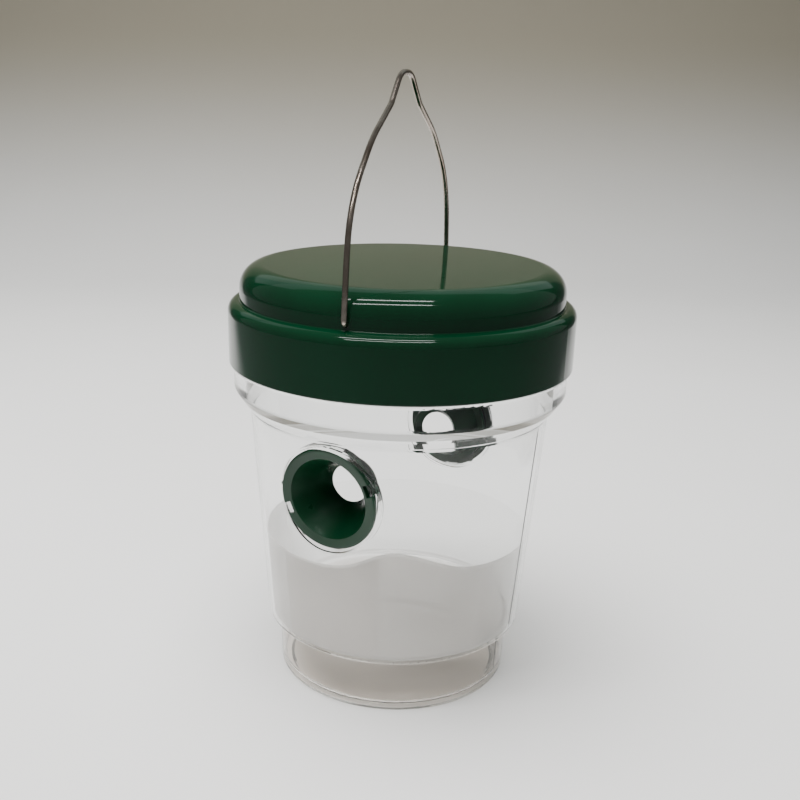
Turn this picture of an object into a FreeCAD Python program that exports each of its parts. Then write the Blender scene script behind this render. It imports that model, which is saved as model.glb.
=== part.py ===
import FreeCAD, Part

import math
import os
import re

import Sketcher
from FreeCAD import Placement, Rotation, Vector

# A hanging wasp trap: a clear tapered jar with a stepped foot, a green screw lid with a
# gasket, a wire bail to hang it by, and two green funnel tunnels that twist into the wall.
# Millimetres. Origin on the jar's axis at the foot's underside, +Z up, ports on -Y and +Y.

SIZES = [
    ("foot_radius", 40.9, "outside of the foot, at its base"),
    ("foot_draft", 0.5, "how much wider the foot is at its top"),
    ("foot_height", 20.3, "underside of the step from foot to body"),
    ("foot_ring", 3.2, "width of the ring that the jar stands on"),
    ("base_recess", 1.2, "hollow under the base, inside the ring"),
    ("foot_round", 1.3, "rounding of the foot's lower edge"),
    ("floor_round", 2.4, "rounding between floor and wall, inside"),
    ("step_round", 1.4, "rounding of the body's lower edge"),
    ("step_blend", 0.7, "roundings where foot and step meet"),
    ("wall", 1.0, "jar wall"),
    ("body_radius", 45.4, "outside of the body just above the step"),
    ("body_base", 21.8, "height of that point"),
    ("shoulder_radius", 50.76, "outside of the body where it flares into the collar"),
    ("shoulder_height", 97.2, "height of that point"),
    ("collar_radius", 56.0, "outside of the collar"),
    ("collar_flare", 53.0, "outside radius where the collar starts"),
    ("collar_base", 100.0, "height of that point"),
    ("collar_rise", 4.4, "from there up to the collar's full radius"),
    ("collar_top", 112.3, "flat on which the lid stops"),
    ("collar_round", 2.2, "roundings of the collar's flare"),
    ("collar_edge", 1.0, "rounding of the collar's upper edge"),
    ("neck_radius", 54.0, "thread root on the neck"),
    ("neck_bore", 52.2, "inside of the neck"),
    ("mouth_height", 129.5, "rim of the mouth"),
    ("edge_round", 0.5, "small rounding of rims and skirt"),
    ("pitch", 6.0, "thread pitch of neck and lid"),
    ("thread_height", 1.15, "radial height of the thread ridge"),
    ("ridge_root", 2.4, "width of the ridge at its root"),
    ("ridge_crest", 1.1, "width of the ridge at its crest"),
    ("ridge_bury", 0.3, "how far a ridge's root lies inside its wall"),
    ("thread_start", 118.4, "height at which the neck thread starts"),
    ("neck_turns", 1.5, "turns of thread on the neck"),
    ("lid_turns", 1.0, "turns of thread in the lid"),
    ("lid_radius", 57.5, "outside of the lid skirt"),
    ("lid_wall", 1.8, "wall of the lid"),
    ("skirt_base", 112.7, "lower edge of the skirt"),
    ("ledge_height", 133.0, "ledge between skirt and upper tier"),
    ("tier_radius", 53.6, "outside of the upper tier"),
    ("lid_top", 144.5, "flat top of the lid"),
    ("ledge_round", 3.4, "rounding of the skirt's upper edge"),
    ("tier_round", 7.5, "rounding of the top edge"),
    ("tier_foot", 0.4, "blend between ledge and upper tier"),
    ("seal_gap", 0.1, "seal to the underside of the ledge"),
    ("seal_thickness", 1.4, "thickness of the gasket"),
    ("seal_inner", 51.9, "inside radius of the gasket"),
    ("seal_outer", 55.3, "outside radius of the gasket"),
    ("seal_round", 0.4, "rounding of the gasket's lower edges"),
    ("wire_radius", 0.9, "bail wire"),
    ("pin_clearance", 0.08, "bail wire to its hole in the lid, radial"),
    ("hinge_height", 134.9, "axis on which the bail swings"),
    ("pin_end", 49.3, "inner end of the bail's pins, from the jar's axis"),
    ("leg_offset", 55.0, "centre line of the bail's legs, from the jar's axis"),
    ("bail_azimuth", 9.4, "hinge axis, turned from -Y towards +X"),
    ("port_height", 77.5, "centre of the port's seat"),
    ("port_tilt", 3.5, "the tunnel's outer end points down by this angle"),
    ("seat_distance", 46.5, "flat seat of the port, from the jar's axis"),
    ("seat_thickness", 2.0, "thickness of the seat"),
    ("boss_radius", 18.1, "outside of the cup in the wall that holds the seat"),
    ("cup_radius", 17.5, "inside of that cup, around the flange"),
    ("cup_proud", 0.1, "rim of the cup, above the jar's wall"),
    ("cup_margin", 0.6, "room trimmed above and below the cup"),
    ("port_radius", 15.0, "hole in the seat"),
    ("barrel_radius", 14.93, "spigot of the tunnel in that hole"),
    ("flange_radius", 16.85, "outside of the tunnel's flange"),
    ("flange_gap", 0.15, "flange to seat"),
    ("flange_front", 1.5, "front of the flange, from the seat"),
    ("flange_bevel", 0.4, "bevel of the flange's front edge"),
    ("flange_rim", 0.5, "flat rim inside that bevel"),
    ("mouth_radius", 13.5, "inner edge of the flange's sloping face"),
    ("mouth_depth", 1.2, "that edge, from the seat"),
    ("throat_radius", 6.44, "narrow end of the funnel"),
    ("throat_depth", 13.0, "where the funnel reaches it"),
    ("tunnel_depth", 15.4, "inner end of the tunnel, from the seat"),
    ("exit_radius", 8.2, "inside of its flared inner end"),
    ("end_radius", 8.9, "outside of its inner end"),
    ("tunnel_wall", 1.35, "wall of the tunnel"),
    ("lug_angle", 22.0, "lugs and flange notches, up from the horizontal"),
    ("lug_width", 4.0, "width of a lug and of its notch in the flange"),
    ("lug_reach", 16.1, "outer edge of the lugs"),
    ("lug_gap", 0.3, "lug to the back of the seat"),
    ("lug_thickness", 1.6, "thickness of a lug"),
    ("lug_bury", 0.6, "how far lugs and notches reach inside the spigot"),
    ("slot_play", 0.3, "slots for the lugs, wider and longer than a lug by this much"),
    ("lug_turn", 60.0, "turn from locked to the seat's entry slots"),
    ("nib_radius", 0.9, "moulding nibs on the flange's edge"),
    ("nib_offset", 16.4, "centre of a nib, from the tunnel's axis"),
    ("nib_setback", 0.5, "front of the nibs, behind the flange's front"),
    ("film_base", 21.6, "film stands on the inside of the step"),
    ("film_top", 56.5, "upper edge of the film"),
    ("film_gap", 0.1, "film to the jar's wall"),
    ("film_thickness", 0.4, "the film"),
    ("film_overlap", 45.0, "angle over which the film's ends overlap"),
    ("film_end", 66.0, "azimuth of the inner end of the film, from -X about Z"),
    ("over_cut", 1.0, "how far a cut runs on past the material"),
]

# Corners of the bail's centre line on one side: offset from the jar's axis, height above
# the hinge axis, and bend radius there. The other side mirrors it.
BAIL_CORNERS = [
    (53.0, 19.6, 40.0),
    (50.0, 33.8, 34.0),
    (31.9, 49.8, 42.0),
    (14.7, 59.0, 5.0),
    (5.2, 68.1, 9.0),
]
BAIL_LEAN = 2.6  # the springy wire leans this far towards its front pin at the top
PIN_BEND = 1.3   # bend radius between a leg and its pin

# Places of the moulding nibs round the flange, in degrees from the first lug.
NIB_ANGLES = (71.0, 150.0, 214.0)

RIM_MATCH = 0.01     # an edge this near, in mm, is the rim that is meant
VOLUME_MATCH = 0.01  # largest error in the swept wire's volume, as a share of it


def make_sheet(doc):
    sheet = doc.addObject("Spreadsheet::Sheet", "Sizes")
    for row, (alias, value, note) in enumerate(SIZES, start=1):
        sheet.set(f"A{row}", alias)
        sheet.set(f"B{row}", str(value))
        sheet.setAlias(f"B{row}", alias)
        sheet.set(f"C{row}", note)
    doc.recompute()
    return sheet


def linked(text):
    """Turn a formula of sheet aliases into an expression that reads the sheet."""
    return re.sub(r"[a-z_]{3,}", lambda word: "Sizes." + word.group(), text)


def number(text):
    return float(SHEET.evalExpression(linked(text)))


def bind(item, **formulas):
    for name, formula in formulas.items():
        item.setExpression(name, linked(formula))


def new_body(name):
    body = DOC.addObject("PartDesign::Body", name)
    body.Label = name
    return body


def origin_plane(body, role):
    return [item for item in body.Origin.OriginFeatures if item.Role == role][0]


def origin_axis(body):
    return [item for item in body.Origin.OriginFeatures if item.Role == "Z_Axis"][0]


def new_sketch(body, name, role="XZ_Plane"):
    sketch = body.newObject("Sketcher::SketchObject", name)
    sketch.AttachmentSupport = [(origin_plane(body, role), "")]
    sketch.MapMode = "FlatFace"
    return sketch


def place_point(sketch, geometry, vertex, across, up):
    """Hold one point of a sketch at a bound offset from the sketch's origin."""
    for kind, axis, formula in (("DistanceX", -2, across), ("DistanceY", -1, up)):
        if formula == "0":
            sketch.addConstraint(Sketcher.Constraint("PointOnObject", geometry, vertex, axis))
            continue
        held = Sketcher.Constraint(kind, -1, 1, geometry, vertex, number(formula))
        index = sketch.addConstraint(held)
        sketch.setExpression(f"Constraints[{index}]", linked(formula))


def draw_outline(sketch, corners):
    points = [Vector(number(across), number(up), 0) for across, up in corners]
    first = sketch.GeometryCount
    for index, point in enumerate(points):
        sketch.addGeometry(Part.LineSegment(point, points[(index + 1) % len(points)]))
    for index in range(len(points)):
        after = first + (index + 1) % len(points)
        sketch.addConstraint(Sketcher.Constraint("Coincident", first + index, 2, after, 1))
    for index, (across, up) in enumerate(corners):
        place_point(sketch, first + index, 1, across, up)


def draw_circle(sketch, radius, across="0", up="0"):
    centre = Vector(number(across), number(up), 0)
    index = sketch.addGeometry(Part.Circle(centre, Vector(0, 0, 1), number(radius)))
    place_point(sketch, index, 3, across, up)
    held = sketch.addConstraint(Sketcher.Constraint("Radius", index, number(radius)))
    sketch.setExpression(f"Constraints[{held}]", linked(radius))


def revolve(body, name, corners, kind="Revolution"):
    sketch = new_sketch(body, name + "Outline")
    draw_outline(sketch, corners)
    feature = body.newObject("PartDesign::" + kind, name)
    feature.Profile = sketch
    feature.ReferenceAxis = (sketch, ["V_Axis"])
    feature.Angle = 360.0
    DOC.recompute()
    return feature


def extrude(body, sketch, kind, name, length, inward=False):
    """A Pad grows along the sketch's normal and a Pocket cuts against it, unless inward."""
    before = body.Tip.Shape.Volume
    feature = body.newObject("PartDesign::" + kind, name)
    feature.Profile = sketch
    feature.Reversed = inward
    bind(feature, Length=length)
    DOC.recompute()
    change = feature.Shape.Volume - before
    if (change > 0) != (kind == "Pad"):
        raise RuntimeError(f"{name} changes the volume the wrong way: {change:.2f}")
    return feature


def round_rims(body, name, rims, radius):
    """Round the circular edges at each (radius, height) with one fillet."""
    base = body.Tip
    wanted = [(number(across), number(up)) for across, up in rims]
    names = []
    for index, edge in enumerate(base.Shape.Edges, start=1):
        if not isinstance(edge.Curve, Part.Circle):
            continue
        size = (edge.Curve.Radius, edge.Curve.Center.z)
        if any(math.dist(size, rim) < RIM_MATCH for rim in wanted):
            names.append(f"Edge{index}")
    if len(names) < len(wanted):
        raise RuntimeError(f"{name} found {len(names)} of {len(wanted)} rims")
    fillet = body.newObject("PartDesign::Fillet", name)
    fillet.Base = (base, names)
    bind(fillet, Radius=radius)
    DOC.recompute()
    return fillet


def thread(body, name, root, crest, start, turns):
    """A helical ridge from its root radius to its crest radius, centred on start."""
    sketch = new_sketch(body, name + "Profile")
    corners = [
        (root, f"{start} - ridge_root / 2"),
        (crest, f"{start} - ridge_crest / 2"),
        (crest, f"{start} + ridge_crest / 2"),
        (root, f"{start} + ridge_root / 2"),
    ]
    if number(root) > number(crest):
        corners.reverse()
    draw_outline(sketch, corners)
    helix = body.newObject("PartDesign::AdditiveHelix", name)
    helix.Profile = sketch
    helix.ReferenceAxis = (sketch, ["V_Axis"])
    helix.Mode = 1
    bind(helix, Pitch="pitch", Turns=turns)
    DOC.recompute()
    return helix


def add_repeat(body, name, features):
    """The same features again on the other side, half a turn about the body's Z axis."""
    pattern = body.newObject("PartDesign::PolarPattern", name)
    pattern.Originals = features
    pattern.Axis = (origin_axis(body), [""])
    pattern.Angle = 360.0
    pattern.Occurrences = 2
    body.Tip = pattern
    DOC.recompute()
    return pattern


def body_outer(height):
    """Formula of the jar's outside radius at a height on its tapered body."""
    slope = "(shoulder_radius - body_radius) / (shoulder_height - body_base)"
    return f"body_radius + ({height} - body_base) * {slope}"


def make_jar():
    body = new_body("jar")
    foot_top = "foot_radius + foot_draft"
    inner_base = f"{body_outer('body_base')} - wall"
    revolve(body, "Shell", [
        ("0", "base_recess"),
        ("foot_radius - foot_ring - base_recess", "base_recess"),
        ("foot_radius - foot_ring", "0"),
        ("foot_radius", "0"),
        (foot_top, "foot_height"),
        ("body_radius", "foot_height"),
        ("body_radius", "body_base"),
        ("shoulder_radius", "shoulder_height"),
        ("collar_flare", "collar_base"),
        ("collar_radius", "collar_base + collar_rise"),
        ("collar_radius", "collar_top"),
        ("neck_radius", "collar_top"),
        ("neck_radius", "mouth_height"),
        ("neck_bore", "mouth_height"),
        ("neck_bore", "collar_base + wall"),
        ("shoulder_radius - wall", "shoulder_height"),
        (inner_base, "foot_height + wall"),
        (f"{foot_top} - wall", "foot_height + wall"),
        ("foot_radius - wall", "base_recess + wall"),
        ("0", "base_recess + wall"),
    ])
    round_rims(body, "FootRound", [("foot_radius", "0")], "foot_round")
    round_rims(body, "StepRound", [("body_radius", "foot_height")], "step_round")
    round_rims(body, "StepInner", [
        (foot_top, "foot_height"),
        (f"{foot_top} - wall", "foot_height + wall"),
    ], "step_blend")
    round_rims(body, "CollarRound", [
        ("shoulder_radius", "shoulder_height"),
        ("collar_flare", "collar_base"),
        ("collar_radius", "collar_base + collar_rise"),
    ], "collar_round")
    round_rims(body, "CollarEdge", [("collar_radius", "collar_top")], "collar_edge")
    floor_rim = ("foot_radius - wall", "base_recess + wall")
    round_rims(body, "FloorRound", [floor_rim], "floor_round")
    round_rims(body, "RimRound", [
        ("neck_radius", "mouth_height"),
        ("neck_bore", "mouth_height"),
    ], "edge_round")
    make_ports(body)
    root = "neck_radius - ridge_bury"
    crest = "neck_radius + thread_height"
    thread(body, "NeckThread", root, crest, "thread_start", "neck_turns")
    return body


def port_sketch(body, name, depth, turn=0.0):
    """A sketch square to the port's axis, this deep behind the seat."""
    sketch = new_sketch(body, name)
    spin = Rotation(Vector(1, 0, 0), number("port_tilt")) * Rotation(Vector(0, 0, 1), turn)
    sketch.AttachmentOffset = Placement(Vector(0, 0, 0), spin)
    drop = math.radians(number("port_tilt"))
    formulas = {
        "AttachmentOffset.Base.y": f"port_height + ({depth}) * {math.sin(drop):.6f}",
        "AttachmentOffset.Base.z": f"seat_distance - ({depth}) * {math.cos(drop):.6f}",
    }
    bind(sketch, **formulas)
    return sketch


def make_ports(body):
    """On both sides a cup sunk in the wall, its flat seat, the port and the lugs' slots."""
    cup_back = port_sketch(body, "CupBack", "seat_thickness")
    draw_circle(cup_back, "boss_radius")
    cup = extrude(body, cup_back, "Pad", "Cup", "boss_radius / 2")
    add_repeat(body, "BothCups", [cup])
    low = "port_height - boss_radius - cup_margin"
    high = "port_height + boss_radius + cup_margin"
    revolve(body, "CupTrim", [
        (f"{body_outer(low)} + cup_proud", low),
        ("lid_radius", low),
        ("lid_radius", high),
        (f"{body_outer(high)} + cup_proud", high),
    ], "Groove")
    seat_face = port_sketch(body, "SeatFace", "0")
    draw_circle(seat_face, "cup_radius")
    seat = extrude(body, seat_face, "Pocket", "Seat", "boss_radius", inward=True)
    hole_face = port_sketch(body, "HoleFace", "0")
    draw_circle(hole_face, "port_radius")
    hole = extrude(body, hole_face, "Pocket", "Port", "seat_thickness + over_cut")
    slot_face = port_sketch(body, "SlotFace", "0", number("lug_angle + lug_turn"))
    draw_box(slot_face, "lug_reach + slot_play", "lug_width / 2 + slot_play")
    slots = extrude(body, slot_face, "Pocket", "LugSlots", "seat_thickness + over_cut")
    add_repeat(body, "BothPorts", [seat, hole, slots])


def draw_box(sketch, reach, half):
    """A bar centred on the sketch's origin, along its first axis."""
    draw_outline(sketch, [
        (f"-({reach})", f"-({half})"),
        (reach, f"-({half})"),
        (reach, half),
        (f"-({reach})", half),
    ])


def make_lid():
    body = new_body("lid")
    bore = "lid_radius - lid_wall"
    tier_bore = "tier_radius - lid_wall"
    ledge_under = "ledge_height - lid_wall"
    revolve(body, "Shell", [
        ("0", "lid_top - lid_wall"),
        (tier_bore, "lid_top - lid_wall"),
        (tier_bore, ledge_under),
        (bore, ledge_under),
        (bore, "skirt_base"),
        ("lid_radius", "skirt_base"),
        ("lid_radius", "ledge_height"),
        ("tier_radius", "ledge_height"),
        ("tier_radius", "lid_top"),
        ("0", "lid_top"),
    ])
    round_rims(body, "LedgeRound", [("lid_radius", "ledge_height")], "ledge_round")
    round_rims(body, "TierRound", [("tier_radius", "lid_top")], "tier_round")
    round_rims(body, "TierInner", [(tier_bore, "lid_top - lid_wall")], "tier_round - lid_wall")
    round_rims(body, "TierFoot", [("tier_radius", "ledge_height")], "tier_foot")
    round_rims(body, "SkirtEdge", [
        ("lid_radius", "skirt_base"),
        (bore, "skirt_base"),
    ], "edge_round")
    root = f"{bore} + ridge_bury"
    crest = f"{bore} - thread_height"
    thread(body, "LidThread", root, crest, "thread_start + pitch / 2", "lid_turns")
    holes = new_sketch(body, "PinHoles")
    spin = Rotation(Vector(0, 1, 0), number("bail_azimuth"))
    holes.AttachmentOffset = Placement(Vector(0, 0, 0), spin)
    draw_circle(holes, "wire_radius + pin_clearance", "0", "hinge_height")
    before = body.Tip.Shape.Volume
    cut = body.newObject("PartDesign::Pocket", "PinCut")
    cut.Profile = holes
    cut.Midplane = True
    bind(cut, Length="lid_radius * 2")
    DOC.recompute()
    if cut.Shape.Volume >= before:
        raise RuntimeError("the bail's holes cut nothing")
    return body


def make_seal():
    body = new_body("lid_seal")
    top = "ledge_height - lid_wall - seal_gap"
    revolve(body, "Ring", [
        ("seal_inner", f"{top} - seal_thickness"),
        ("seal_outer", f"{top} - seal_thickness"),
        ("seal_outer", top),
        ("seal_inner", top),
    ])
    round_rims(body, "Edges", [
        ("seal_inner", f"{top} - seal_thickness"),
        ("seal_outer", f"{top} - seal_thickness"),
    ], "seal_round")
    return body


def rounded_path(corners):
    """A wire of straight runs joined by tangent arcs, from (point, bend radius) pairs."""
    edges = []
    start = corners[0][0]
    for (before, _), (point, radius), (after, _) in zip(corners, corners[1:], corners[2:]):
        back = (before - point).normalize()
        ahead = (after - point).normalize()
        half = back.getAngle(ahead) / 2
        cut = radius / math.tan(half)
        enter = point + back * cut
        leave = point + ahead * cut
        middle = point + (back + ahead).normalize() * (radius / math.sin(half) - radius)
        edges.append(Part.LineSegment(start, enter).toShape())
        edges.append(Part.Arc(enter, middle, leave).toShape())
        start = leave
    edges.append(Part.LineSegment(start, corners[-1][0]).toShape())
    return Part.Wire(edges)


def bail_point(offset, height):
    """A point in the bail's own plane, leaning more the higher it is."""
    peak = BAIL_CORNERS[-1][1]
    return Vector(0, offset - BAIL_LEAN * (height / peak) ** 2, height)


def make_bail():
    """A round wire bent in one plane, with both ends turned inwards as hinge pins."""
    leg = number("leg_offset")
    pin = number("pin_end")
    half = [(leg, 0.0, PIN_BEND)] + BAIL_CORNERS
    front = [(bail_point(-offset, height), bend) for offset, height, bend in half]
    back = [(bail_point(offset, height), bend) for offset, height, bend in reversed(half)]
    ends = [(bail_point(-pin, 0.0), 0.0)], [(bail_point(pin, 0.0), 0.0)]
    path = rounded_path(ends[0] + front + back + ends[1])
    start = path.Edges[0].valueAt(path.Edges[0].FirstParameter)
    radius = number("wire_radius")
    section = Part.Wire(Part.makeCircle(radius, start, Vector(0, 1, 0)))
    solid = path.makePipeShell([section], True, True)
    expected = math.pi * radius ** 2 * path.Length
    if abs(solid.Volume / expected - 1) > VOLUME_MATCH:
        raise RuntimeError("the bail's sweep has the wrong volume")
    bail = DOC.addObject("Part::Feature", "bail")
    bail.Label = "bail"
    bail.Shape = solid
    spin = Rotation(Vector(0, 0, 1), number("bail_azimuth"))
    bail.Placement = Placement(Vector(0, 0, number("hinge_height")), spin)
    return bail


def make_tunnel(name, azimuth):
    """A flanged funnel on its own axis, +Z outwards, then stood in its port."""
    body = new_body(name)
    wall = "tunnel_wall"
    cone_run = "(throat_depth + mouth_depth)"
    spigot_end = "(seat_thickness + lug_gap + lug_thickness)"
    slope = f"(mouth_radius - throat_radius) / {cone_run}"
    neck = f"throat_radius + (throat_depth - {spigot_end}) * {slope} + {wall}"
    revolve(body, "Funnel", [
        ("exit_radius", "-tunnel_depth"),
        ("end_radius", "-tunnel_depth"),
        (neck, f"-{spigot_end}"),
        ("barrel_radius", f"-{spigot_end}"),
        ("barrel_radius", "flange_gap"),
        ("flange_radius", "flange_gap"),
        ("flange_radius", "flange_front - flange_bevel"),
        ("flange_radius - flange_bevel", "flange_front"),
        ("flange_radius - flange_bevel - flange_rim", "flange_front"),
        ("mouth_radius", "mouth_depth"),
        ("throat_radius", "-throat_depth"),
    ])
    lug_face = new_sketch(body, "LugFace", "XY_Plane")
    bind(lug_face, **{"AttachmentOffset.Base.z": "-(seat_thickness + lug_gap)"})
    draw_outline(lug_face, [
        ("barrel_radius - lug_bury", "-lug_width / 2"),
        ("lug_reach", "-lug_width / 2"),
        ("lug_reach", "lug_width / 2"),
        ("barrel_radius - lug_bury", "lug_width / 2"),
    ])
    lug = extrude(body, lug_face, "Pad", "Lug", "lug_thickness", inward=True)
    add_repeat(body, "BothLugs", [lug])
    notch_face = new_sketch(body, "NotchFace", "XY_Plane")
    draw_outline(notch_face, [
        ("barrel_radius - lug_bury", "-lug_width / 2"),
        ("flange_radius + over_cut", "-lug_width / 2"),
        ("flange_radius + over_cut", "lug_width / 2"),
        ("barrel_radius - lug_bury", "lug_width / 2"),
    ])
    notch = extrude(body, notch_face, "Pocket", "Notch", "flange_front + over_cut", inward=True)
    add_repeat(body, "BothNotches", [notch])
    nib_face = new_sketch(body, "NibFace", "XY_Plane")
    bind(nib_face, **{"AttachmentOffset.Base.z": "flange_gap"})
    for turn in NIB_ANGLES:
        across = f"nib_offset * {math.cos(math.radians(turn)):.5f}"
        up = f"nib_offset * {math.sin(math.radians(turn)):.5f}"
        draw_circle(nib_face, "nib_radius", across, up)
    extrude(body, nib_face, "Pad", "Nibs", "flange_front - flange_gap - nib_setback")
    stand = Rotation(Vector(0, 0, 1), azimuth) * Rotation(Vector(1, 0, 0), 90 + number("port_tilt"))
    seat = Rotation(Vector(0, 0, 1), azimuth).multVec(
        Vector(0, -number("seat_distance"), number("port_height")))
    body.Placement = Placement(seat, stand * Rotation(Vector(0, 0, 1), number("lug_angle")))
    return body


def make_film():
    """A strip of film rolled inside the jar's wall, its two ends overlapping."""
    body = new_body("film_liner")
    low = f"{body_outer('film_base')} - wall - film_gap"
    high = f"{body_outer('film_top')} - wall - film_gap"
    revolve(body, "OuterTurn", [
        (f"{low} - film_thickness", "film_base"),
        (low, "film_base"),
        (high, "film_top"),
        (f"{high} - film_thickness", "film_top"),
    ])
    sketch = new_sketch(body, "OverlapOutline")
    sketch.AttachmentOffset = Placement(
        Vector(0, 0, 0), Rotation(Vector(0, 1, 0), number("film_end")))
    draw_outline(sketch, [
        (f"-({low} - film_thickness * 2)", "film_base"),
        (f"-({low} - film_thickness * 0.5)", "film_base"),
        (f"-({high} - film_thickness * 0.5)", "film_top"),
        (f"-({high} - film_thickness * 2)", "film_top"),
    ])
    overlap = body.newObject("PartDesign::Revolution", "Overlap")
    overlap.Profile = sketch
    overlap.ReferenceAxis = (sketch, ["V_Axis"])
    bind(overlap, Angle="film_overlap")
    DOC.recompute()
    return body


def check_document():
    for item in DOC.Objects:
        if "Invalid" in item.State or "Error" in item.State:
            raise RuntimeError(f"{item.Name} did not recompute: {item.State}")


def write_parts(parts):
    os.makedirs("parts", exist_ok=True)
    for item in parts:
        shape = item.Shape
        if shape.isNull() or not shape.isValid() or len(shape.Solids) != 1:
            raise RuntimeError(f"{item.Label} is not one valid solid")
        shape.exportStep(f"parts/{item.Label}.step")
        box = shape.BoundBox
        print(f"{item.Label}: {shape.Volume:.0f} mm3, "
              f"x {box.XMin:.1f}..{box.XMax:.1f}, y {box.YMin:.1f}..{box.YMax:.1f}, "
              f"z {box.ZMin:.1f}..{box.ZMax:.1f}")


DOC = FreeCAD.newDocument("wasp_trap")
SHEET = make_sheet(DOC)
PARTS = [
    make_jar(),
    make_film(),
    make_lid(),
    make_seal(),
    make_bail(),
    make_tunnel("front_entry_tunnel", 0.0),
    make_tunnel("rear_entry_tunnel", 180.0),
]
DOC.recompute()
check_document()
write_parts(PARTS)
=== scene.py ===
import math

import bpy
from mathutils import Matrix, Vector


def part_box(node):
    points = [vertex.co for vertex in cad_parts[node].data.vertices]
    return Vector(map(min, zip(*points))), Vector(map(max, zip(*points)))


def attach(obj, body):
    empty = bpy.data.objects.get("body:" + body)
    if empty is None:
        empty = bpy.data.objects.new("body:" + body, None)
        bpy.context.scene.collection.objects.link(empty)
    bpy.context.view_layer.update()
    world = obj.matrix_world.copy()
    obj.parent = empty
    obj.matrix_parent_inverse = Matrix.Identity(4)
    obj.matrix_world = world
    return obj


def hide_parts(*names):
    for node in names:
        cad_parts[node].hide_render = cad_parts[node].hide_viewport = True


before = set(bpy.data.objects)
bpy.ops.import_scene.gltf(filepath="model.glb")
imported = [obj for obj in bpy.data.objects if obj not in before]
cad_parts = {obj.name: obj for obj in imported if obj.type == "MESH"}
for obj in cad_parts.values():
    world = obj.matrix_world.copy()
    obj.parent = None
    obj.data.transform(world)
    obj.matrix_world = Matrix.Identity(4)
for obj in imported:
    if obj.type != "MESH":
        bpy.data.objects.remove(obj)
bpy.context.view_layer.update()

# ---------------------------------------------------------------- sizes and viewpoint
MM = 0.001
FILM_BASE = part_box("film_liner")[0].z

# The camera stands this many degrees round from -Y towards +X, looks down by the pitch,
# and is rolled with its right side up.
VIEW_AZIMUTH = 28.348
VIEW_PITCH = 20.181
VIEW_ROLL = 1.102
VIEW_PLACE = (0.15036, -0.30024, 0.19752)
LENS = 45.716
SENSOR = 36.0
SHIFT = (0.04, 0.08)

# ---------------------------------------------------------------- node helpers


def new_material(name):
    """A material with an empty node tree but for its output."""
    material = bpy.data.materials.new(name)
    material.use_nodes = True
    tree = material.node_tree
    tree.nodes.clear()
    tree.nodes.new("ShaderNodeOutputMaterial")
    return material


def add_node(material, kind, settings=None, **inputs):
    """A node with its settings, its inputs given as values or as sockets to link."""
    node = material.node_tree.nodes.new("ShaderNode" + kind)
    for name, value in (settings or {}).items():
        setattr(node, name, value)
    for name, value in inputs.items():
        key = name.replace("_", " ")
        socket = node.inputs[int(key[2:])] if key.startswith("at") else node.inputs[key]
        if isinstance(value, bpy.types.NodeSocket):
            material.node_tree.links.new(value, socket)
        else:
            socket.default_value = value
    return node


def show(material, shader):
    output = material.node_tree.nodes["Material Output"]
    material.node_tree.links.new(shader.outputs[0], output.inputs["Surface"])
    return material


def object_noise(material, scale, detail=3.0, roughness=0.55, stretch=(1, 1, 1)):
    """Noise in object space, in repeats per metre."""
    place = add_node(material, "TexCoord").outputs["Object"]
    spread = add_node(material, "Mapping", Vector=place, Scale=stretch)
    texture = add_node(
        material, "TexNoise", Vector=spread.outputs[0], Scale=scale, Detail=detail,
        Roughness=roughness)
    return texture.outputs["Fac"]


def object_axis(material, axis):
    """One coordinate in object space, in metres."""
    place = add_node(material, "TexCoord").outputs["Object"]
    return add_node(material, "SeparateXYZ", Vector=place).outputs[axis]


def ramp(material, value, low, high, start=0.3, end=0.7, shape="LINEAR"):
    """Map a value from start to end onto low to high."""
    node = add_node(material, "MapRange", {"interpolation_type": shape}, Value=value)
    node.inputs["From Min"].default_value = start
    node.inputs["From Max"].default_value = end
    node.inputs["To Min"].default_value = low
    node.inputs["To Max"].default_value = high
    return node.outputs["Result"]


def blend_colours(material, factor, first, second):
    """Mix two colours, each given as a colour or as a socket to link."""
    node = add_node(material, "Mix", {"data_type": "RGBA"})
    material.node_tree.links.new(factor, node.inputs[0])
    for socket, colour in ((node.inputs[6], first), (node.inputs[7], second)):
        if isinstance(colour, bpy.types.NodeSocket):
            material.node_tree.links.new(colour, socket)
        else:
            socket.default_value = (*colour, 1)
    return node.outputs[2]


def bumped(material, height, strength, distance):
    node = add_node(material, "Bump", Height=height, Strength=strength, Distance=distance)
    return node.outputs["Normal"]


# ---------------------------------------------------------------- materials
# The foot's colour is partly its thick wall's own tint and partly painted shade, where the
# lid shades it.
FOOT_TINT_AND_SHADE = (0.85, 0.81, 0.77)
CLEAR_TINT = (0.985, 0.99, 0.988)
FOOT_TINT_AND_SHADE_RANGE = (0.017, 0.022)   # heights between which the tint and painted shade give way to clear
JAR_IOR = 1.3
FILM_HAZE = (0.60, 0.04)           # share of light scattered at -Y and at +Y
FILM_HAZE_RANGE = (-0.020, 0.015)  # the Y between which it changes

# The stage: pale paper in a wedge that opens to the back, with painted shade around it.
# Painted shade: outside the wedge the floor is dark grey, standing in for floor that little
# light reaches.
FLOOR_PAINTED_SHADE = (0.14, 0.14, 0.14)
# Painted shade: the paper darkens up the backdrop, where less light reaches it.
BACKDROP_PAINTED_SHADE = (0.40, 0.360, 0.280)
BACKDROP_SHADE_RISE = (-0.04, 0.28)      # heights between which painted shade darkens the paper
SHADE_FRONT = (-0.18, -0.38)       # where painted shade takes over towards the camera
SHADE_SIDE = (0.17, 0.34)          # and to either side, level with the object
PAPER_WIDENING = 0.42              # how fast it widens to the back


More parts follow.
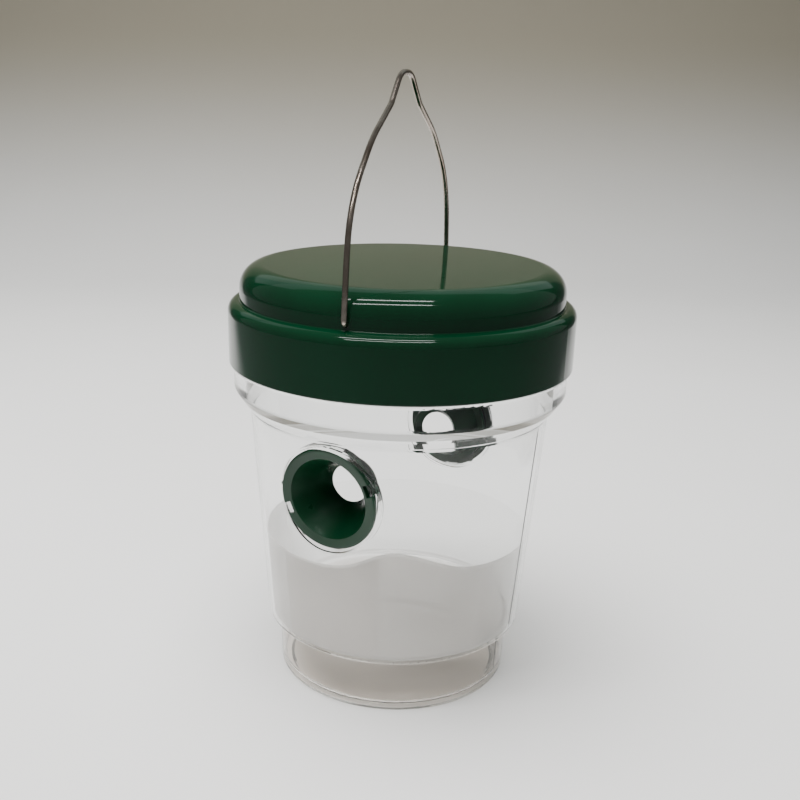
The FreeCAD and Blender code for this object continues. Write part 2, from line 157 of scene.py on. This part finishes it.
def green_plastic(name, dark, light, smooth, rough):
    """Moulded plastic: slight flow marks in its colour, fine unevenness in its gloss."""
    material = new_material(name)
    flow = object_noise(material, 38.0, stretch=(1, 1, 0.35))
    grain = object_noise(material, 900.0, detail=2.0)
    haze = object_noise(material, 120.0, detail=4.0)
    shader = add_node(
        material, "BsdfPrincipled",
        Base_Color=blend_colours(material, ramp(material, flow, 0, 1), dark, light),
        Roughness=ramp(material, haze, smooth, rough),
        Normal=bumped(material, grain, 0.06, 0.00004),
        IOR=1.46)
    return show(material, shader)


def clear_plastic():
    """Clear plastic, its foot tinted darker: partly its thick wall's own tint, partly
    painted shade from the lid. Shadow rays pass straight through its thin walls.
    """
    material = new_material("clear_plastic")
    swirl = object_noise(material, 30.0, detail=2.0, stretch=(1, 1, 0.3))
    haze = object_noise(material, 160.0, detail=4.0)
    glass = add_node(
        material, "BsdfPrincipled",
        Base_Color=blend_colours(
            material, ramp(material, object_axis(material, "Z"), 0, 1, *FOOT_TINT_AND_SHADE_RANGE),
            FOOT_TINT_AND_SHADE, CLEAR_TINT),
        Roughness=ramp(material, haze, 0.0, 0.035),
        Normal=bumped(material, swirl, 0.08, 0.0002),
        IOR=JAR_IOR)
    glass.inputs["Transmission Weight"].default_value = 1.0
    open_way = add_node(material, "BsdfTransparent", Color=(0.97, 0.975, 0.972, 1))
    path = add_node(material, "LightPath")
    mix = add_node(
        material, "MixShader", at0=path.outputs["Is Shadow Ray"], at1=glass.outputs[0],
        at2=open_way.outputs[0])
    return show(material, mix)


def frosted_film():
    """Thin frosted film: part of the light passes straight, the rest is scattered.

    It is hazier at -Y than at +Y; the haze changes with Y alone.
    """
    material = new_material("frosted_film")
    cloud = object_noise(material, 45.0, detail=3.0)
    fibre = object_noise(material, 1400.0, detail=2.0, stretch=(1, 1, 0.2))
    tint = blend_colours(
        material, ramp(material, cloud, 0, 1), (0.82, 0.79, 0.76), (0.88, 0.85, 0.82))
    relief = bumped(material, fibre, 0.15, 0.00003)
    front = add_node(material, "BsdfDiffuse", Color=tint, Normal=relief)
    through = add_node(material, "BsdfTranslucent", Color=tint, Normal=relief)
    scatter = add_node(
        material, "MixShader", at0=0.5, at1=front.outputs[0], at2=through.outputs[0])
    clear = add_node(material, "BsdfTransparent", Color=(0.995, 0.995, 0.993, 1))
    haze = ramp(material, object_axis(material, "Y"), *FILM_HAZE, *FILM_HAZE_RANGE)
    mix = add_node(
        material, "MixShader", at0=haze, at1=clear.outputs[0], at2=scatter.outputs[0])
    return show(material, mix)


def steel_wire():
    """Brownish drawn wire: fine lines along it and dullness here and there."""
    material = new_material("steel_wire")
    lines = object_noise(material, 2600.0, detail=2.0, stretch=(1, 1, 0.06))
    dull = object_noise(material, 90.0, detail=4.0)
    shader = add_node(
        material, "BsdfPrincipled",
        Base_Color=blend_colours(
            material, ramp(material, dull, 0, 1), (0.24, 0.19, 0.155), (0.46, 0.40, 0.35)),
        Roughness=ramp(material, dull, 0.16, 0.34),
        Normal=bumped(material, lines, 0.2, 0.00003),
        Metallic=1.0)
    return show(material, shader)


def seal_foam():
    """Pale closed-cell foam: small cells in its relief, faint clouds in its colour."""
    material = new_material("seal_foam")
    cells = add_node(
        material, "TexVoronoi", Vector=add_node(material, "TexCoord").outputs["Object"],
        Scale=2200.0)
    cloud = object_noise(material, 150.0)
    shader = add_node(
        material, "BsdfPrincipled",
        Base_Color=blend_colours(
            material, ramp(material, cloud, 0, 1), (0.58, 0.57, 0.54), (0.72, 0.71, 0.68)),
        Normal=bumped(material, cells.outputs["Distance"], 0.5, 0.0001),
        Roughness=0.85)
    return show(material, shader)


def paper_with_painted_shade():
    """Pale paper that widens to the back, darkened up the backdrop by painted shade, with a
    dark grey floor of painted shade around it.
    """
    material = new_material("paper_with_painted_shade")
    cloud = object_noise(material, 3.0, detail=4.0)
    paper = blend_colours(
        material, ramp(material, cloud, 0, 1), (0.80, 0.79, 0.775), (0.84, 0.83, 0.82))
    # Painted shade darkens the paper up the backdrop.
    rise = ramp(material, object_axis(material, "Z"), 0, 1, *BACKDROP_SHADE_RISE, "SMOOTHSTEP")
    paper = blend_colours(material, rise, paper, BACKDROP_PAINTED_SHADE)
    # Painted shade: the floor turns dark grey towards the camera and to either side of the
    # pale wedge.
    ahead = object_axis(material, "Y")
    front = ramp(material, ahead, 0, 1, *SHADE_FRONT, "SMOOTHSTEP")
    paper = blend_colours(material, front, paper, FLOOR_PAINTED_SHADE)
    across = add_node(
        material, "Math", {"operation": "ABSOLUTE"}, at0=object_axis(material, "X"))
    beside = add_node(
        material, "Math", {"operation": "MULTIPLY_ADD"}, at0=ahead, at1=-PAPER_WIDENING,
        at2=across.outputs[0])
    side = ramp(material, beside.outputs[0], 0, 1, *SHADE_SIDE, "SMOOTHSTEP")
    paper = blend_colours(material, side, paper, FLOOR_PAINTED_SHADE)
    shader = add_node(material, "BsdfPrincipled", Base_Color=paper, Roughness=0.8)
    return show(material, shader)


# ---------------------------------------------------------------- meshes


def mesh_object(name, points, faces, material):
    """A smooth-shaded mesh in the scene."""
    mesh = bpy.data.meshes.new(name)
    mesh.from_pydata(points, [], faces)
    mesh.materials.append(material)
    for polygon in mesh.polygons:
        polygon.use_smooth = True
    mesh.update()
    thing = bpy.data.objects.new(name, mesh)
    bpy.context.scene.collection.objects.link(thing)
    return thing


def paint(node, material):
    """Give a CAD node's object a better material. Its mesh stays as it is."""
    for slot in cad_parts[node].material_slots:
        slot.material = material


GREEN_LID = green_plastic(
    "green_lid", (0.0002, 0.019, 0.0065), (0.0004, 0.025, 0.0090), 0.05, 0.10)
GREEN_TUNNEL = green_plastic(
    "green_tunnel", (0.0004, 0.026, 0.009), (0.0008, 0.036, 0.013), 0.26, 0.38)
paint("lid", GREEN_LID)
paint("front_entry_tunnel", GREEN_TUNNEL)
paint("rear_entry_tunnel", GREEN_TUNNEL)
paint("jar", clear_plastic())
paint("bail", steel_wire())
paint("lid_seal", seal_foam())

# ---------------------------------------------------------------- film
WALL_RADIUS = 44.386 * MM  # the jar's inner wall at the film's lower edge
WALL_SLOPE = 0.0711        # how much that wall widens with height
FILM_START = -24.0         # azimuth of the film's outer end
FILM_TURN = 404.7          # degrees from its outer end to its inner end
FILM_SHEET = 0.25 * MM
FILM_STEP = 1.2 * MM       # how much lower the film's inner end is rolled
FILM_LIFT = 0.3 * MM       # the film's lower edge above the CAD film's
FILM_GAP = 0.15 * MM       # from the jar's wall to the film's outer end
FILM_WIND = 0.6 * MM       # how much farther in its inner end lies
EDGE_HEIGHT = 54.3 * MM    # the film's upper edge, away from the lift and the sag
EDGE_LIFT = 7.5 * MM
LIFT_AZIMUTH = 27.0
LIFT_WIDTHS = (16.0, 20.0)  # degrees that the lift spreads before and after its top
EDGE_SAG = 1.5 * MM
SAG_AZIMUTH = 25.0         # the sag is deepest opposite this azimuth


def film_edge(azimuth):
    """Height of the film's upper edge: a slow sag, and a lift beside its inner end."""
    width = LIFT_WIDTHS[azimuth >= LIFT_AZIMUTH]
    lift = math.exp(-((azimuth - LIFT_AZIMUTH) / width) ** 2)
    sag = 1.0 - math.cos(math.radians(azimuth - SAG_AZIMUTH))
    return EDGE_HEIGHT + EDGE_LIFT * lift - EDGE_SAG * sag


def make_film():
    """A strip rolled against the jar's wall, its last part lying inside its first."""
    columns, rows = 324, 24
    low = FILM_BASE + FILM_LIFT
    points = []
    for side in (0, 1):
        for column in range(columns + 1):
            along = FILM_TURN * column / columns
            inward = FILM_GAP + FILM_WIND * along / FILM_TURN + side * FILM_SHEET
            top = film_edge((FILM_START + along + 180.0) % 360.0 - 180.0)
            if along > 360.0:
                top -= FILM_STEP
            angle = math.radians(FILM_START + along - 90.0)
            for row in range(rows + 1):
                height = low + (top - low) * row / rows
                radius = WALL_RADIUS + WALL_SLOPE * (height - low) - inward
                points.append((radius * math.cos(angle), radius * math.sin(angle), height))
    faces = []
    across = rows + 1
    sheet = across * (columns + 1)
    for column in range(columns):
        for row in range(rows):
            a = column * across + row
            b = a + across
            faces.append((a, b, b + 1, a + 1))
            faces.append((a + sheet, a + sheet + 1, b + sheet + 1, b + sheet))
        for row, flip in ((0, False), (rows, True)):
            a = column * across + row
            b = a + across
            quad = (a, a + sheet, b + sheet, b)
            faces.append(quad[::-1] if flip else quad)
    for column, flip in ((0, True), (columns, False)):
        for row in range(rows):
            a = column * across + row
            quad = (a, a + sheet, a + sheet + 1, a + 1)
            faces.append(quad if flip else quad[::-1])
    return mesh_object("rolled_film", points, faces, frosted_film())


film = make_film()
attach(film, "jar")
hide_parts("film_liner")

# ---------------------------------------------------------------- floor and backdrop


def make_sweep():
    """A pale floor that rises behind the object into a backdrop, in one smooth sweep."""
    depth_front, depth_back, rise, bend, width = 1.2, 0.75, 1.4, 0.45, 3.2
    bend_steps, floor_steps, columns = 24, 8, 12
    profile = [(-depth_front, 0.0)]
    profile += [(depth_back * k / floor_steps, 0.0) for k in range(floor_steps)]
    for step in range(bend_steps + 1):
        turn = math.radians(90.0 * step / bend_steps)
        profile.append((depth_back + bend * math.sin(turn), bend * (1 - math.cos(turn))))
    profile.append((depth_back + bend, rise))
    points = []
    for column in range(columns + 1):
        across = width * (column / columns - 0.5)
        points += [(across, depth, height) for depth, height in profile]
    count = len(profile)
    faces = [
        (c * count + k, (c + 1) * count + k, (c + 1) * count + k + 1, c * count + k + 1)
        for c in range(columns) for k in range(count - 1)
    ]
    sweep = mesh_object("floor_sweep", points, faces, paper_with_painted_shade())
    sweep.rotation_euler = (0, 0, math.radians(VIEW_AZIMUTH))


# ---------------------------------------------------------------- camera and light


def place_camera():
    """The photographer's standpoint, above the lid's height and close to the object."""
    data = bpy.data.cameras.new("camera")
    data.sensor_width = SENSOR
    data.lens = LENS
    data.shift_x, data.shift_y = SHIFT
    camera = bpy.data.objects.new("camera", data)
    bpy.context.scene.collection.objects.link(camera)
    turn, tip, roll = (math.radians(v) for v in (VIEW_AZIMUTH, VIEW_PITCH, VIEW_ROLL))
    ahead = Vector((
        -math.sin(turn) * math.cos(tip), math.cos(turn) * math.cos(tip), -math.sin(tip)))
    level = Vector((math.cos(turn), math.sin(turn), 0))
    upright = level.cross(ahead)
    right = level * math.cos(roll) + upright * math.sin(roll)
    up = right.cross(ahead)
    place = Matrix((right, up, -ahead)).transposed().to_4x4()
    place.translation = Vector(VIEW_PLACE)
    camera.matrix_world = place
    bpy.context.scene.camera = camera


def from_camera_side(right, ahead, up):
    """A place given as seen from the camera: to its right, away from it, and up."""
    turn = math.radians(VIEW_AZIMUTH)
    x = right * math.cos(turn) - ahead * math.sin(turn)
    y = right * math.sin(turn) + ahead * math.cos(turn)
    return Vector((x, y, up))


def area_light(name, place, aim, size, radiance, spread=180.0, colour=(1, 1, 1)):
    """A rectangle of light, its first side level. Its power comes from its radiance."""
    data = bpy.data.lights.new(name, "AREA")
    data.shape = "RECTANGLE"
    data.size, data.size_y = size
    data.energy = radiance * math.pi * size[0] * size[1]
    data.color = colour
    data.spread = math.radians(spread)
    lamp = bpy.data.objects.new(name, data)
    bpy.context.scene.collection.objects.link(lamp)
    place = from_camera_side(*place)
    ahead = (from_camera_side(*aim) - place).normalized()
    level = from_camera_side(1, 0, 0)
    up = level.cross(ahead).normalized()
    lamp.matrix_world = Matrix((level, up, -ahead)).transposed().to_4x4()
    lamp.matrix_world.translation = place
    lamp.visible_camera = False
    return lamp


# Radiance of the world, the ceiling tubes, the soft box and the wall.
WORLD, TUBE, BOX, WALL = 0.20, 26.0, 3.6, 0.36


def light_scene():
    """Two ceiling tubes, a soft box over the object and a pale wall behind it.

    The soft box doesn't show in reflections, so that only the tubes make highlights.
    """
    world = bpy.data.worlds.new("world")
    bpy.context.scene.world = world
    world.use_nodes = True
    background = world.node_tree.nodes["Background"]
    background.inputs["Color"].default_value = (0.96, 1.0, 0.98, 1)
    background.inputs["Strength"].default_value = WORLD
    middle = (0, 0, 0.08)
    area_light("tube_far", (-0.14, -0.30, 1.14), middle, (0.80, 0.05), TUBE)
    area_light("tube_near", (-0.17, -0.72, 1.14), middle, (1.05, 0.05), TUBE)
    box = area_light("soft_box", (-0.25, 0.0, 1.25), (0, 0.05, 0), (1.2, 1.0), BOX, 100.0)
    box.visible_glossy = False
    area_light("back_wall", (0, 1.0, 0.95), (0, 0, 0.2), (2.4, 1.3), WALL,
               colour=(0.86, 1.0, 1.0))


place_camera()
make_sweep()
light_scene()
